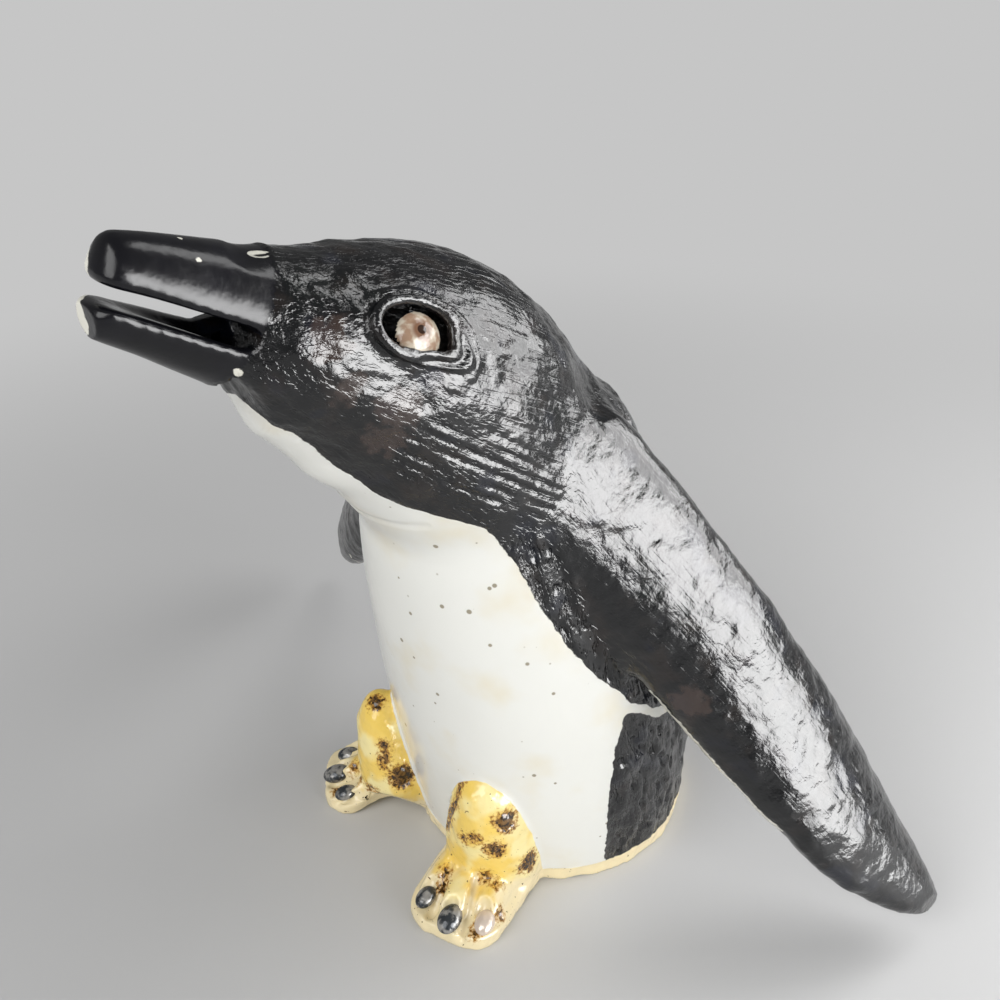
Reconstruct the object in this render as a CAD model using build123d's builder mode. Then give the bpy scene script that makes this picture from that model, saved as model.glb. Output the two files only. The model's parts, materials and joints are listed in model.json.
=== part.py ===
"""Hand-built hollow ceramic penguin, standing on a flat slab, head raised and beak a little open.

Frame: millimetres, +Z up, the bird faces -Y, its left side is +X.
The origin is the middle of the round base, on the surface that the figure stands on.
"""
import math
import os

from build123d import *

# Clay walls
WALL = 5.0                     # thickness of the hollow shells

# Base slab
SLAB_THICKNESS = 4.0
BASE_DIAMETER = 74.0
VENT_DIAMETER = 8.0            # lets air out of the hollow body in the kiln
VENT_SETBACK = 18.0

# Legs and feet
LEFT_FOOT_ANGLE = 23.0         # degrees from straight ahead to the tip of the left foot
RIGHT_FOOT_ANGLE = 37.0
LEFT_FOOT_REACH = 25.0         # from the edge of the round base to the tip of the left foot
RIGHT_FOOT_REACH = 26.5
FOOT_WIDTH = 24.0
LEFT_SPLAY_ANGLE = 22.0        # degrees that the left foot turns outwards
RIGHT_SPLAY_ANGLE = 36.0
FOOT_CORNER = 8.0              # rounded front corners of a foot
FOOT_FLARE = 2.0               # how much a foot widens on each side towards the base
LEFT_LEG_ANGLE = 25.0          # degrees from straight ahead to the left leg
RIGHT_LEG_ANGLE = 31.0
LEG_HEIGHT = 33.0              # above the slab
LEG_WIDTH = 25.0
LEG_DEPTH = 22.0
LEFT_LEG_BULGE = 7.0           # how far the left leg stands out of the base or belly, at the slab
RIGHT_LEG_BULGE = 12.0
LEG_LEAN = 6.0                 # how far the top of a leg leans forwards with the belly
DOME_SHARES = [0.0, 0.4, 0.7, 0.9]   # of the length of a leg or toe, where it has a section
TOE_DIAMETER = 10.0
TOE_LIFT = 1.0                 # height of the tip of a toe above its foot
TOE_LENGTH = 15.0
TOE_PITCH = 8.0                # between neighbouring toes at their tips
TOE_FAN_ANGLE = 9.0            # degrees between neighbouring toes
TOE_INSET = 1.0                # from the tip of a toe to the edge of its foot
TOE_STAGGER = 3.0              # how far the inner and outer toes stay behind the middle one
CLAW_LENGTH = 6.4
CLAW_WIDTH = 4.6
CLAW_DROOP_ANGLE = 30.0        # degrees that a claw points down
CLAW_SETBACK = 3.0             # from the tip of a toe to the middle of its claw
CLAW_LIFT = 2.8                # height of the middle of a claw above the tip of its toe

# Body, as cross-sections from the base to the neck, each ahead of and above the one before it
BELLY_ADVANCE = 5.0
BELLY_RISE = 41.0
BELLY_WIDTH = 80.0
BELLY_DEPTH = 80.0
CHEST_ADVANCE = 6.0
CHEST_RISE = 37.0
CHEST_WIDTH = 74.0
CHEST_DEPTH = 78.0
NECK_ADVANCE = 10.0
NECK_RISE = 31.0
NECK_WIDTH = 60.0
NECK_DEPTH = 64.0
NECK_TILT_ANGLE = 20.0         # degrees that a cross-section tips forwards

# Head, as cross-sections that go on in the same way from the neck to the beak
NAPE_ADVANCE = 15.9
NAPE_RISE = 20.0
NAPE_WIDTH = 54.0
NAPE_DEPTH = 59.0
NAPE_TILT_ANGLE = 22.0
CROWN_ADVANCE = 11.5
CROWN_RISE = 11.4
CROWN_WIDTH = 49.0
CROWN_DEPTH = 51.3
CROWN_TILT_ANGLE = 33.5
BROW_ADVANCE = 13.1
BROW_RISE = 7.1
BROW_WIDTH = 42.0
BROW_DEPTH = 40.5
BROW_TILT_ANGLE = 42.0

# Beak, whose root is the front section of the head
BEAK_ADVANCE = 17.5
BEAK_RISE = 7.0
BEAK_WIDTH = 24.0
BEAK_DEPTH = 26.0
BEAK_TILT_ANGLE = 57.0
BEAK_LENGTH = 24.5
UPPER_BEAK_ANGLE = 27.0        # degrees above the horizon
LOWER_BEAK_ANGLE = 19.0
BEAK_TIP_WIDTH = 12.0
UPPER_TIP_DEPTH = 8.2
LOWER_TIP_DEPTH = 6.0
GAPE = 4.0                     # open height of the mouth at its back
BEAK_TIP_ROUND = 1.6
TROUGH_WIDTH = 16.0            # hollow of the lower beak, at its root
TROUGH_DEPTH = 3.5
TROUGH_TIP_WIDTH = 5.0
TROUGH_TIP_DEPTH = 1.0
NOSTRIL_LENGTH = 4.0
NOSTRIL_WIDTH = 1.8
NOSTRIL_DEPTH = 2.0
NOSTRIL_APART = 10.0
NOSTRIL_ADVANCE = 5.0          # from the root of the upper beak, towards its tip

# Eyes
EYE_ADVANCE = 6.1              # ahead of the middle of the crown section
EYE_RISE = 11.3
EYE_SLANT_ANGLE = 23.0         # degrees that the front corner is raised
EYE_DIAMETER = 10.0
EYE_STAND = 1.4                # how far an eyeball stands out of the cheek
SOCKET_LENGTH = 13.5
SOCKET_HEIGHT = 8.5
SOCKET_DEPTH = 3.0
LID_WIDTH = 1.8
LID_STAND = 1.5                # how far an eyelid stands out of the cheek

# Flippers, which are alike but for how they are held
SHOULDER_APART = 32.0
SHOULDER_ADVANCE = 1.0         # ahead of the middle of the neck section
SHOULDER_RISE = 1.0
FLIPPER_LENGTH = 145.0
LEFT_SPREAD_ANGLE = 44.4       # degrees from straight down
RIGHT_SPREAD_ANGLE = 50.0
LEFT_SWEEP_ANGLE = 35.2        # degrees from straight sideways, towards the tail
RIGHT_SWEEP_ANGLE = 19.0
FLIPPER_TWIST_ANGLE = 60.0     # degrees that the blade turns about its own length
FLIPPER_ROOT_WIDTH = 53.0
FLIPPER_ROOT_THICKNESS = 30.0
FLIPPER_ROOT_FORWARD = 2.0     # how far the root lies towards the front edge
FLIPPER_MIDDLE_WIDTH = 34.0
FLIPPER_MIDDLE_THICKNESS = 19.0
FLIPPER_END_WIDTH = 21.0
FLIPPER_END_THICKNESS = 11.0
FLIPPER_MIDDLE_SHARE = 0.5     # of the length, from the shoulder
FLIPPER_END_SHARE = 0.88
FLIPPER_BEND = 3.0             # how far the end bends towards the front edge


def section(ahead, height, tilt):
    """Plane of a cross-section: local x to the bird's left, local y to its back and up."""
    lean = math.radians(tilt)
    return Plane(origin=(0, -ahead, height), x_dir=(1, 0, 0), z_dir=(0, -math.sin(lean), math.cos(lean)))


def beyond(plane, advance, rise, tilt):
    """Plane of the next cross-section, ahead of and above another one."""
    return section(advance - plane.origin.Y, rise + plane.origin.Z, tilt)


def rising(angle):
    """Direction straight ahead, raised above the horizon."""
    lift = math.radians(angle)
    return Vector(0, -math.cos(lift), math.sin(lift))


def bearing_point(bearing, radius, height):
    """Point at a radius from the upright axis, at a bearing from straight ahead to the left."""
    turn = math.radians(bearing)
    return Vector(radius * math.sin(turn), -radius * math.cos(turn), height)


def oval_loft(sections, tip=None):
    """Solid through oval sections (plane, width, depth), closed at a rounded tip where there is one."""
    with BuildPart() as form:
        for plane, width, depth in sections:
            with BuildSketch(plane):
                with BuildLine():
                    EllipticalCenterArc((0, 0), width / 2, depth / 2, start_angle=-90, arc_size=180)
                    EllipticalCenterArc((0, 0), width / 2, depth / 2, start_angle=90, arc_size=180)
                make_face()
        ends = [] if tip is None else [Vertex(*tip)]
        loft([*form.pending_faces, *ends])
    return form.part


def grown(sections, amount):
    """The same sections, larger all round by an amount, or smaller where it is negative."""
    return [(plane, width + 2 * amount, depth + 2 * amount) for plane, width, depth in sections]


def trimmed(lump, others):
    """A lump of clay with its neighbours cut away, so that it meets them along a seam."""
    with BuildPart() as piece:
        add(lump)
        for other in others:
            add(other, mode=Mode.SUBTRACT)
    return piece.part


def mirrored(part):
    """The same piece for the right side."""
    return mirror(part, about=Plane.YZ)


# Body
base_plane = section(0, SLAB_THICKNESS, 0)
belly_plane = beyond(base_plane, BELLY_ADVANCE, BELLY_RISE, 0)
chest_plane = beyond(belly_plane, CHEST_ADVANCE, CHEST_RISE, 0)
neck_plane = beyond(chest_plane, NECK_ADVANCE, NECK_RISE, NECK_TILT_ANGLE)
neck_ring = (neck_plane, NECK_WIDTH, NECK_DEPTH)
body_rings = [
    (base_plane, BASE_DIAMETER, BASE_DIAMETER),
    (belly_plane, BELLY_WIDTH, BELLY_DEPTH),
    (chest_plane, CHEST_WIDTH, CHEST_DEPTH),
    neck_ring,
]
body_form = oval_loft(body_rings)
body_hollow = oval_loft(grown(body_rings, -WALL))

with BuildPart() as body_shell:
    add(body_form)
    add(body_hollow, mode=Mode.SUBTRACT)

# Head, with more clay behind the eye sockets
nape_plane = beyond(neck_plane, NAPE_ADVANCE, NAPE_RISE, NAPE_TILT_ANGLE)
crown_plane = beyond(nape_plane, CROWN_ADVANCE, CROWN_RISE, CROWN_TILT_ANGLE)
brow_plane = beyond(crown_plane, BROW_ADVANCE, BROW_RISE, BROW_TILT_ANGLE)
beak_plane = beyond(brow_plane, BEAK_ADVANCE, BEAK_RISE, BEAK_TILT_ANGLE)
back_rings = [
    neck_ring,
    (nape_plane, NAPE_WIDTH, NAPE_DEPTH),
    (crown_plane, CROWN_WIDTH, CROWN_DEPTH),
]
brow_ring = (brow_plane, BROW_WIDTH, BROW_DEPTH)
head_rings = [*back_rings, brow_ring, (beak_plane, BEAK_WIDTH, BEAK_DEPTH)]
head_form = oval_loft(head_rings)
head_hollow = oval_loft(grown(back_rings, -WALL) + grown([brow_ring], -WALL - SOCKET_DEPTH))

# Eye seats, on the cheek where a level line from the middle of the head comes out
eye_middle = crown_plane.origin + Vector(0, -EYE_ADVANCE, EYE_RISE)
eye_line = Axis(eye_middle, (1, 0, 0))
eye_hits = head_form.find_intersection_points(eye_line)
eye_point, eye_normal = max(eye_hits, key=lambda hit: hit[0].X)
eye_plane = Plane(origin=eye_point, x_dir=rising(EYE_SLANT_ANGLE), z_dir=eye_normal)

with BuildPart() as left_socket:
    with BuildSketch(eye_plane):
        Ellipse(SOCKET_LENGTH / 2, SOCKET_HEIGHT / 2)
    extrude(amount=SOCKET_DEPTH, both=True)

with BuildPart() as head_shell:
    add(head_form)
    add(head_hollow, mode=Mode.SUBTRACT)
    add(left_socket.part, mode=Mode.SUBTRACT)
    add(mirrored(left_socket.part), mode=Mode.SUBTRACT)

with BuildPart() as eyeball:
    with Locations(eye_plane.offset(EYE_STAND - EYE_DIAMETER / 2)):
        Sphere(EYE_DIAMETER / 2)

with BuildPart() as lid_ring:
    with BuildSketch(eye_plane):
        Ellipse(SOCKET_LENGTH / 2 + LID_WIDTH, SOCKET_HEIGHT / 2 + LID_WIDTH)
        Ellipse(SOCKET_LENGTH / 2, SOCKET_HEIGHT / 2, mode=Mode.SUBTRACT)
    extrude(amount=SOCKET_LENGTH / 2, both=True)
    add(oval_loft(grown(head_rings, LID_STAND)), mode=Mode.INTERSECT)

eye_seat = [head_shell.part, head_hollow]
left_eye = trimmed(eyeball.part, eye_seat)
right_eye = trimmed(mirrored(eyeball.part), eye_seat)
left_eyelid = trimmed(lid_ring.part, [head_form, left_eye])
right_eyelid = trimmed(mirrored(lid_ring.part), [head_form, right_eye])


def beak_half(along, side, gap, tip_depth):
    """Half of the beak, from its share of the beak root to a smaller half at the tip; side 1 is upper."""
    tip_plane = Plane(origin=beak_plane.origin + along * BEAK_LENGTH, x_dir=(1, 0, 0), z_dir=along)
    with BuildPart() as half:
        for plane, width, depth, cut in [
            (beak_plane, BEAK_WIDTH, BEAK_DEPTH / 2, gap),
            (tip_plane, BEAK_TIP_WIDTH, tip_depth, 0),
        ]:
            with BuildSketch(plane):
                Ellipse(width / 2, depth)
                with Locations((0, side * (cut - depth))):
                    Rectangle(width, 2 * depth, mode=Mode.SUBTRACT)
        loft()
        tip_face = half.faces().sort_by(Axis(beak_plane.origin, along))[-1]
        fillet(tip_face.edges(), BEAK_TIP_ROUND)
    return half.part


# Beak
upper_along = rising(UPPER_BEAK_ANGLE)
lower_along = rising(LOWER_BEAK_ANGLE)
upper_form = beak_half(upper_along, 1, 0, UPPER_TIP_DEPTH)
lower_form = beak_half(lower_along, -1, GAPE, LOWER_TIP_DEPTH)
nostril_foot = beak_plane.from_local_coords((NOSTRIL_APART / 2, 0, NOSTRIL_ADVANCE))
nostril_hits = upper_form.find_intersection_points(Axis(nostril_foot, beak_plane.y_dir))
nostril_point, nostril_normal = max(nostril_hits, key=lambda hit: hit[0].Z)

with BuildPart() as left_nostril:
    with BuildSketch(Plane(origin=nostril_point, x_dir=upper_along, z_dir=nostril_normal)):
        Ellipse(NOSTRIL_LENGTH / 2, NOSTRIL_WIDTH / 2)
    extrude(amount=NOSTRIL_DEPTH, both=True)

with BuildPart() as upper_beak:
    add(upper_form)
    add(left_nostril.part, mode=Mode.SUBTRACT)
    add(mirrored(left_nostril.part), mode=Mode.SUBTRACT)

trough_end = beak_plane.origin + lower_along * (BEAK_LENGTH - WALL)

with BuildPart() as trough:
    with BuildSketch(beak_plane):
        with Locations((0, -GAPE)):
            Ellipse(TROUGH_WIDTH / 2, TROUGH_DEPTH)
    with BuildSketch(Plane(origin=trough_end, x_dir=(1, 0, 0), z_dir=lower_along)):
        Ellipse(TROUGH_TIP_WIDTH / 2, TROUGH_TIP_DEPTH)
    loft()

with BuildPart() as lower_beak:
    add(lower_form)
    add(trough.part, mode=Mode.SUBTRACT)

# Flippers
shoulder = neck_plane.origin + Vector(SHOULDER_APART / 2, -SHOULDER_ADVANCE, SHOULDER_RISE)


def flipper(spread_angle, sweep_angle):
    """Flipper of the left side, from a root inside the body to a rounded tip."""
    spread = math.radians(spread_angle)
    sweep = math.radians(sweep_angle)
    out_dir = Vector(math.cos(sweep), math.sin(sweep), 0)
    along = out_dir * math.sin(spread) - Vector(0, 0, math.cos(spread))
    level_across = Vector(-math.sin(sweep), math.cos(sweep), 0)
    across = level_across.rotate(Axis((0, 0, 0), along), FLIPPER_TWIST_ANGLE)

    def blade_plane(share, forward):
        """Plane across the blade at a share of its length; local x runs to the rear edge."""
        middle = shoulder + along * (FLIPPER_LENGTH * share) - across * forward
        return Plane(origin=middle, x_dir=across, z_dir=along)

    rings = [
        (blade_plane(0, FLIPPER_ROOT_FORWARD), FLIPPER_ROOT_WIDTH, FLIPPER_ROOT_THICKNESS),
        (blade_plane(FLIPPER_MIDDLE_SHARE, 0), FLIPPER_MIDDLE_WIDTH, FLIPPER_MIDDLE_THICKNESS),
        (blade_plane(FLIPPER_END_SHARE, FLIPPER_BEND), FLIPPER_END_WIDTH, FLIPPER_END_THICKNESS),
    ]
    return oval_loft(rings, tip=blade_plane(1, FLIPPER_BEND / 2).origin)


left_form = flipper(LEFT_SPREAD_ANGLE, LEFT_SWEEP_ANGLE)
right_form = flipper(RIGHT_SPREAD_ANGLE, RIGHT_SWEEP_ANGLE)
left_flipper = trimmed(left_form, [body_form, head_form])
right_flipper = trimmed(mirrored(right_form), [body_form, head_form])

# Base slab
with BuildPart() as base_slab:
    with BuildSketch(Plane.XY):
        Circle(BASE_DIAMETER / 2)
        with Locations((0, VENT_SETBACK)):
            Circle(VENT_DIAMETER / 2, mode=Mode.SUBTRACT)
    extrude(amount=SLAB_THICKNESS)


def dome(plane, top, width, depth):
    """Domed lump of clay from a full oval in its bottom plane to a rounded top."""
    rings = []
    for share in DOME_SHARES:
        narrowing = math.sqrt(1 - share ** 2)
        middle = plane.origin + (top - plane.origin) * share
        ring_plane = Plane(origin=middle, x_dir=plane.x_dir, z_dir=plane.z_dir)
        rings.append((ring_plane, width * narrowing, depth * narrowing))
    return oval_loft(rings, tip=top)


def egg(middle, along, length, diameter):
    """Egg-shaped lump of clay about a line."""
    side_plane = Plane(origin=middle, x_dir=along, z_dir=along.cross(Vector(0, 0, 1)))
    with BuildPart() as lump:
        with BuildSketch(side_plane):
            Ellipse(length / 2, diameter / 2)
            with Locations((0, -diameter / 2)):
                Rectangle(length, diameter, mode=Mode.SUBTRACT)
        revolve(axis=Axis(middle, along))
    return lump.part


def build_foot(side, bearing, reach, splay):
    """Foot pad of one side, and a dictionary of its toes and claws by name."""
    turn = math.radians(splay * side)
    along = Vector(math.sin(turn), -math.cos(turn), 0)
    across = Vector(math.cos(turn), math.sin(turn), 0) * side
    tip = bearing_point(bearing * side, BASE_DIAMETER / 2 + reach, 0)
    root = tip - along * (reach + BASE_DIAMETER / 4)
    front_half = across * (FOOT_WIDTH / 2)
    root_half = across * (FOOT_WIDTH / 2 + FOOT_FLARE)
    outline = [tip - front_half, tip + front_half, root + root_half, root - root_half]
    with BuildPart() as pad:
        with BuildSketch(Plane.XY) as footprint:
            Polygon(*[(point.X, point.Y) for point in outline], align=None)
            fillet(footprint.vertices().sort_by_distance(tip)[:2], FOOT_CORNER)
            Circle(BASE_DIAMETER / 2, mode=Mode.SUBTRACT)
        extrude(amount=SLAB_THICKNESS)
    droop = math.radians(CLAW_DROOP_ANGLE)
    toes = {}
    for toe_name, place in [("middle", 0), ("inner", -1), ("outer", 1)]:
        fan = math.radians((splay + TOE_FAN_ANGLE * place) * side)
        toe_along = Vector(math.sin(fan), -math.cos(fan), 0)
        toe_end = tip - along * (TOE_INSET + TOE_STAGGER * abs(place)) + across * (TOE_PITCH * place)
        toe_tip = toe_end + Vector(0, 0, SLAB_THICKNESS + TOE_LIFT)
        toe_root = Plane(origin=toe_tip - toe_along * TOE_LENGTH, x_dir=(0, 0, 1), z_dir=toe_along)
        claw_along = toe_along * math.cos(droop) - Vector(0, 0, math.sin(droop))
        claw_middle = toe_tip - toe_along * CLAW_SETBACK + Vector(0, 0, CLAW_LIFT)
        claw = trimmed(egg(claw_middle, claw_along, CLAW_LENGTH, CLAW_WIDTH), toes.values())
        with BuildPart() as toe:
            add(dome(toe_root, toe_tip, TOE_DIAMETER, TOE_DIAMETER))
            split(bisect_by=Plane.XY.offset(SLAB_THICKNESS), keep=Keep.TOP)
            for other in [*toes.values(), claw]:
                add(other, mode=Mode.SUBTRACT)
        toes[f"{toe_name}_claw"] = claw
        toes[f"{toe_name}_toe"] = toe.part
    return pad.part, toes


def build_leg(bearing, bulge, toes):
    """Domed bulge that stands on the base and the foot, against the belly and over the toes."""
    radius = max(BASE_DIAMETER, BELLY_DEPTH) / 2 + bulge - LEG_DEPTH / 2
    bottom = bearing_point(bearing, radius, SLAB_THICKNESS)
    top = bearing_point(bearing, radius + LEG_LEAN, SLAB_THICKNESS + LEG_HEIGHT)
    bottom_plane = Plane(origin=bottom, x_dir=bearing_point(bearing, 1, 0), z_dir=(0, 0, 1))
    return trimmed(dome(bottom_plane, top, LEG_DEPTH, LEG_WIDTH), [body_form, *toes.values()])


# Legs and feet
left_foot, left_toes = build_foot(1, LEFT_FOOT_ANGLE, LEFT_FOOT_REACH, LEFT_SPLAY_ANGLE)
right_foot, right_toes = build_foot(-1, RIGHT_FOOT_ANGLE, RIGHT_FOOT_REACH, RIGHT_SPLAY_ANGLE)
left_leg = build_leg(LEFT_LEG_ANGLE, LEFT_LEG_BULGE, left_toes)
right_leg = build_leg(-RIGHT_LEG_ANGLE, RIGHT_LEG_BULGE, right_toes)

parts = {
    "base_slab": base_slab.part,
    "body_shell": body_shell.part,
    "head_shell": head_shell.part,
    "upper_beak": upper_beak.part,
    "lower_beak": lower_beak.part,
    "left_eye": left_eye,
    "right_eye": right_eye,
    "left_eyelid": left_eyelid,
    "right_eyelid": right_eyelid,
    "left_flipper": left_flipper,
    "right_flipper": right_flipper,
    "left_leg": left_leg,
    "right_leg": right_leg,
    "left_foot": left_foot,
    "right_foot": right_foot,
}
parts.update({f"left_{name}": piece for name, piece in left_toes.items()})
parts.update({f"right_{name}": piece for name, piece in right_toes.items()})
os.makedirs("parts", exist_ok=True)
for name, part in parts.items():
    part.label = name
    export_step(part, f"parts/{name}.step")
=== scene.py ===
"""Hand-built glazed ceramic penguin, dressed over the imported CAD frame.

Blender objects are in metres, +Z up; the bird faces -Y and its left side is +X, as in the CAD model.
The clay skin is one remeshed surface over all the clay solids, so that the luted joints are soft.
It is worked in millimetres, and then cut into one piece for each CAD node.
"""
import itertools
import json
import math

import bmesh
import bpy
import numpy as np
from mathutils import Matrix, Vector
from mathutils.bvhtree import BVHTree


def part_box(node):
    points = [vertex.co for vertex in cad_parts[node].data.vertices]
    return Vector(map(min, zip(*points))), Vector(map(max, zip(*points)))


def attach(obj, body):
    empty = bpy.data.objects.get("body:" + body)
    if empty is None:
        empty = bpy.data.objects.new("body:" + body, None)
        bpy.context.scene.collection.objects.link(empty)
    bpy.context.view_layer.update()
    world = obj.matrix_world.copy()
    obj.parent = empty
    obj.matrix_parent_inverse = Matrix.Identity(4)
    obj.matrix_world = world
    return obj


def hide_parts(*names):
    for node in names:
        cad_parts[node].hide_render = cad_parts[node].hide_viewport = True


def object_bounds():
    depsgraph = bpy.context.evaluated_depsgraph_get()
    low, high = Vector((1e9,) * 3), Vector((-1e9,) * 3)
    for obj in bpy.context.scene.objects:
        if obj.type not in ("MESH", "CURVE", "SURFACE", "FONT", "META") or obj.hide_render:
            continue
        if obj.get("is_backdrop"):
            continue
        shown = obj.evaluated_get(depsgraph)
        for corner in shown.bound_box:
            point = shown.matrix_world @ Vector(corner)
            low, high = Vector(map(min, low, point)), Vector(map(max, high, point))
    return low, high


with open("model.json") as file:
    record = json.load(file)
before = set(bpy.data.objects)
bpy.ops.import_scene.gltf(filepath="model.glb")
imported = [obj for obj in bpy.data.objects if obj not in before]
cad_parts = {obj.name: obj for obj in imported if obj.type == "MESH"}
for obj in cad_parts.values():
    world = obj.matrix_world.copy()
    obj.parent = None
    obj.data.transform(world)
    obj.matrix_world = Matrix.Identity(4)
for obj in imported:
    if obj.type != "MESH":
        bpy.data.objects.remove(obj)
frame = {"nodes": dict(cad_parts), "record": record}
cad_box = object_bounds()
nodes = frame["nodes"]
slot_of = {entry["node"]: entry["material_slot"] for entry in frame["record"]["subparts"]}

MM = 0.001

# Camera of the photograph
CAMERA_PLACE = (165.7, -157.3, 223.6)
CAMERA_PITCH = 60.0            # degrees up from straight down
CAMERA_HEADING = 50.0
CAMERA_LENS = 38.6
SENSOR_WIDTH = 36.0

# Clay skin
VOXEL = 0.6
SLAB_SIDES = 256               # of the round base
JOINT_REACH = 8.0              # how far from a joint of the body the clay is smoothed over
JOINT_PASSES = 60
FOOT_REACH = 3.5
FOOT_PASSES = 14
TOE_SHARE = 0.1                # of that smoothing, between the toes
FAIR_PASSES = 140              # over the breast, the shoulders and the armpits
END_SHARE = 0.12               # of that smoothing, at the ends of the flippers
SKIN_PASSES = 3
BEAK_PASSES = 12
SEAM_PASSES = 5
SKIRT = 1.0                    # how deep a piece is closed below the skin

# Where the smoothing starts and stops: height, or distance ahead of the origin
FACE_AHEAD = (40.0, 46.0)
FACE_HEIGHT = (132.0, 138.0)
LEG_HEIGHT = 45.0
LEG_FADE = 6.0
TOE_HEIGHT = 12.0
TOE_FADE = 2.0
TOE_AHEAD = (36.0, 42.0)
BREAST_HEIGHT = 111.0
BREAST_REACH = 12.0
BREAST_FADE = 5.0
BREAST_SPREAD = 62.0           # degrees to each side

# Body's axis, which leans forwards
AXIS_AHEAD = 5.0
AXIS_HEIGHT = 45.0
AXIS_LEAN = 0.13

# Colour borders: height and bearing from straight ahead
FRONT_BORDER = [
    (62.7, 80.8), (69.5, 72.0), (77.9, 64.2), (89.3, 55.8), (100.6, 49.2), (107.4, 43.5), (111.9, 40.0),
    (115.7, 28.9), (118.6, 20.1), (122.0, 14.4), (128.5, 10.0), (137.5, 8.8), (141.5, 6.5), (145.0, -4.0),
]
PATCH_SIDE = [(4.0, 70.0), (30.0, 71.6), (47.0, 75.2), (57.7, 80.2)]
# Top of the tail patch: bearing and height
PATCH_TOP = [(80.2, 57.7), (86.4, 55.2), (93.3, 51.0), (125.0, 44.0)]
STRIP_WIDTH = 3.2              # white strip above the patch
STRIP_END = (98.0, 112.0)      # bearings between which the strip narrows to nothing
STRIP_LAP = 6.0                # how far black laps over black beyond the strip

# Directions of the feather strokes
HEAD_ALONG = (0.0, 0.85, -0.52)
LEFT_ALONG = (0.572, 0.403, -0.714)
RIGHT_ALONG = (-0.724, 0.249, -0.643)
BACK_ALONG = (0.0, 0.2, -0.98)

# Lengths, widths and depths of the strokes
HEAD_LENGTH = 8.0
FLIPPER_LENGTH = 10.0
BACK_LENGTH = 4.0
FINE_WIDTH = 1.5
COARSE_WIDTH = 3.2
HAIR_WIDTH = 0.75
FINE_DEPTH = 0.3
COARSE_DEPTH = 0.3

# Strength of the strokes
HEAD_STROKES = 0.55
FLIPPER_STROKES = 0.15
BACK_STROKES = 2.2

# Unevenness of the clay: size and height of the lumps, and the seed of their pattern
UNEVEN_BLACK = [(5.0, 0.3, 31), (1.8, 0.12, 32)]
UNEVEN_WHITE = [(14.0, 0.15, 33)]
UNEVEN_YELLOW = [(4.0, 0.3, 34), (1.6, 0.12, 35)]
UNEVEN_BEAK = [(6.0, 0.05, 36)]

# Left flipper: it turns up towards its end, and its lower edge is worn
FLIPPER_TURN = -38.0
TURN_SHARES = (0.35, 0.85)
EDGE_OUT = (-0.2, -0.776, -0.598)
FLIPPER_EDGE = [
    (44.0, -12.6, 67.0), (47.2, -11.2, 64.0), (56.3, -7.0, 55.2), (65.1, -2.1, 45.1), (73.1, 3.1, 36.3)
]
EDGE_START = 12.0
EDGE_END = 20.0
EDGE_WEAR = 0.6
END_REACH = 24.0
END_SWELL = 2.2
FLIPPER_BACK = [(36.0, 1.0, 111.0), (45.0, 6.0, 99.0), (54.0, 11.0, 87.0)]
FLIPPER_BACK_REACH = 20.0
FLIPPER_BACK_SWELL = 1.5

# Shoulders and armpits, for the left side
SHOULDER = (23.0, -8.0, 128.0)
SHOULDER_REACH = 23.0
SHOULDER_TOP = (21.0, -5.0, 132.0)
SHOULDER_TOP_REACH = 14.0
SHOULDER_TOP_DEPTH = 1.5
ARMPIT = (38.0, -18.0, 74.0)
ARMPIT_REACH = 11.0

# Lines cut across the cheek
CHEEK_START = (22.9, -54.3, 131.0)
CHEEK_END = (28.8, -30.7, 119.0)
CHEEK_REACH = 9.0
CHEEK_ALONG = (0.2, 0.8, -0.56)
CHEEK_ACROSS = (-0.17, -0.53, -0.82)
CHEEK_PITCH = 2.3
CHEEK_DEPTH = 0.45

# Throat
THROAT_START = (0.0, -79.0, 142.0)
THROAT_END = (0.0, -67.0, 126.0)
THROAT_REACH = 13.0
THROAT_SWELL = 2.8
CHIN = (0.0, -86.0, 144.0)
CHIN_REACH = 13.0
CHIN_DEPTH = 4.5
GAPE_DEPTH = 5.0
GAPE_AHEAD = (75.0, 79.0)
GAPE_FLOOR = (149.0, 152.0)
GAPE_TOP = 166.0
CREASE = [(0.0, -57.0, 110.5), (7.4, -56.3, 111.0), (17.0, -52.0, 112.0)]
CREASE_REACH = 1.8
CREASE_DEPTH = 0.25

# Eye, for the left side: it lies in an almond with a pointed rear corner
EYE_MIDDLE = (19.95, -53.9, 154.45)
EYE_ALONG = (0.27, 0.86, -0.433)
EYE_UP = (-0.455, 0.51, 0.729)
EYE_REACH = 15.0
CORNER_STRETCH = 0.3
CORNER_BEARING = -16.0
CORNER_SPREAD = 18.0
LOWER_LID_RISE = 0.18
LID_RADII = (9.0, 5.9)
LID_HEIGHT = 0.9
FOLD_HEIGHT = 0.5
EYE_SHIFT = (0.4, 0.3, -1.2)
EYE_SIZE = 1.14
PUPIL = (21.6, -54.2, 155.9)
PUPIL_RADIUS = 0.85

# Beak, with its nostril for the left side
TIP_ROUND = 0.045              # how much the beak's tips curve back to the sides
TIP_REACH = 9.0
TIP_STRETCH = 1.8
TIP_CHIP = 1.8                 # how far the right corners of the tips are worn pale
CHIP_SIDE = (-0.64, -0.77, 0.0)
NOSTRIL = (3.7, -74.5, 169.45)
NOSTRIL_ALONG = (0.0, -0.95, 0.3)
NOSTRIL_RADII = (2.1, 0.85)
NOSTRIL_RIM = 0.2
NOSTRIL_DEPTH = 0.3
NOSTRIL_REACH = 6.0

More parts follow.
